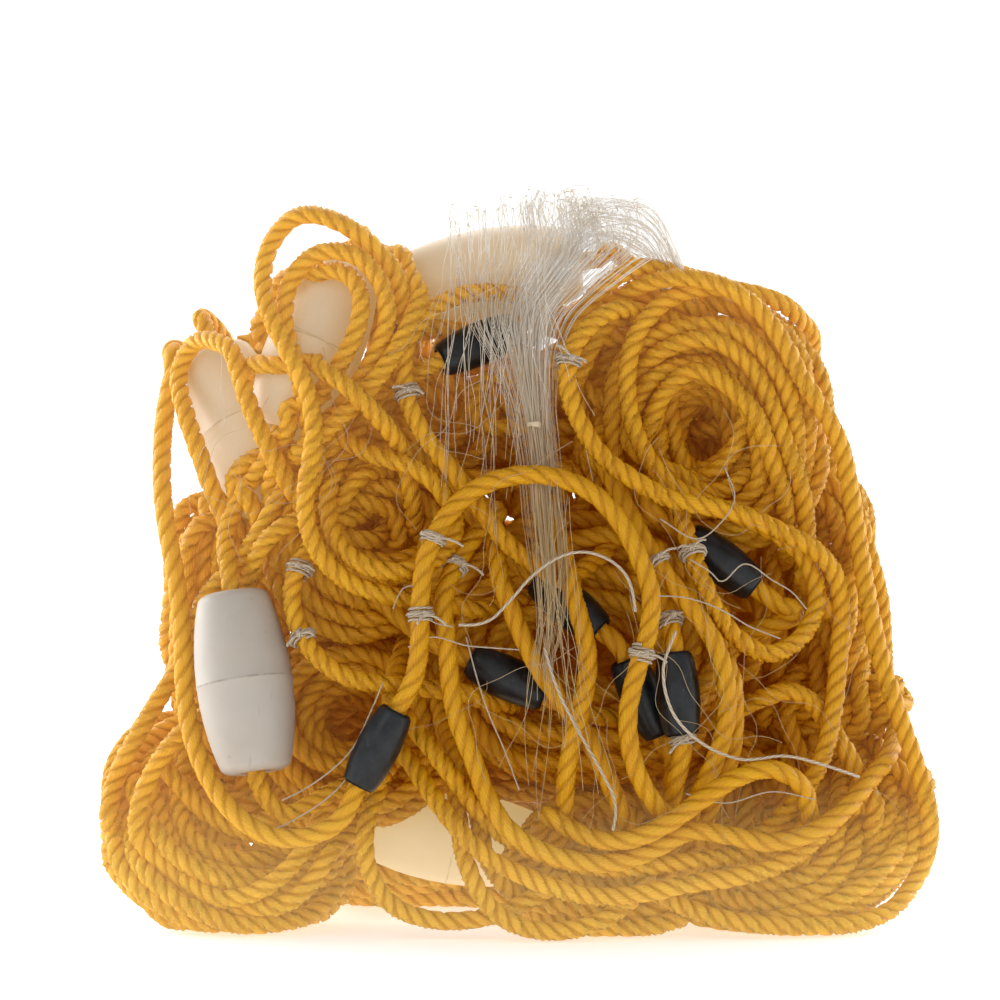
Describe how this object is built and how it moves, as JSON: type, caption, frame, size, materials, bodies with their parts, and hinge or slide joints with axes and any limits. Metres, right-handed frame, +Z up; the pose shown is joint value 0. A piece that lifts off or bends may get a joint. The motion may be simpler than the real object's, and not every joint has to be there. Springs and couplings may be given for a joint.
{
  "type": "gill net",
  "caption": "Gill net gathered into an upright bundle: coils of yellow laid rope with white barrel floats and dark sinkers, and translucent netting bunched down the front.",
  "frame": {"origin": "middle of the base of the bundle's box, on the surface it rests on", "axes": "+X to the right along the bundle's width, +Y from its front to its back, +Z up"},
  "size_m": [0.3401, 0.1708, 0.303],
  "materials": {
    "yellow_rope": "slightly glossy laid polypropylene",
    "white_float": "satin moulded",
    "slate_sinker": "dull, scuffed",
    "grey_twine": "matt twine",
    "netting": "translucent monofilament"
  },
  "bodies": {
    "root": {"coil_back_high": "yellow_rope", "coil_back_low": "yellow_rope", "coil_bottom": "yellow_rope", "coil_centre": "yellow_rope", "coil_left": "yellow_rope", "coil_left_middle": "yellow_rope", "coil_left_side": "yellow_rope", "coil_low_left": "yellow_rope", "coil_right": "yellow_rope", "coil_right_side": "yellow_rope", "coil_upper_left": "yellow_rope", "coil_upper_right": "yellow_rope", "float_bottom": "white_float", "float_crown": "white_float", "float_front": "white_float", "float_line_bottom_float": "yellow_rope", "float_line_crown_float": "yellow_rope", "float_line_front_float": "yellow_rope", "float_line_front_sweep": "yellow_rope", "float_line_left_inner_loop": "yellow_rope", "float_line_left_loop": "yellow_rope", "float_line_lower_ring": "yellow_rope", "float_line_lower_sweep": "yellow_rope", "float_line_right_drop": "yellow_rope", "float_line_right_loop": "yellow_rope", "float_line_right_side": "yellow_rope", "float_line_shoulder_float": "yellow_rope", "float_line_shoulder_loop": "yellow_rope", "float_line_top_left_float": "yellow_rope", "float_line_top_loop": "yellow_rope", "float_line_upper_ring": "yellow_rope", "float_shoulder": "white_float", "float_top_left": "white_float", "lashing_centre_loop": "grey_twine", "lashing_left_ring": "grey_twine", "lashing_right_leg": "grey_twine", "lashing_sinker_top": "grey_twine", "lashing_top_loop": "grey_twine", "lead_line_arch_sinker": "yellow_rope", "lead_line_bottom_left_loop": "yellow_rope", "lead_line_bottom_loop": "yellow_rope", "lead_line_centre_sinker": "yellow_rope", "lead_line_crown_sinker": "yellow_rope", "lead_line_front": "yellow_rope", "lead_line_inner_sinkers": "yellow_rope", "lead_line_middle_sweep": "yellow_rope", "lead_line_right_drop": "yellow_rope", "lead_line_right_loop": "yellow_rope", "netting": "netting", "sinker_arch": "slate_sinker", "sinker_centre": "slate_sinker", "sinker_crown": "slate_sinker", "sinker_deep": "slate_sinker", "sinker_inner": "slate_sinker", "sinker_left": "slate_sinker", "sinker_right": "slate_sinker", "twine_arc": "grey_twine", "twine_long_end": "grey_twine", "twine_right": "grey_twine"}
  },
  "joints": []
}
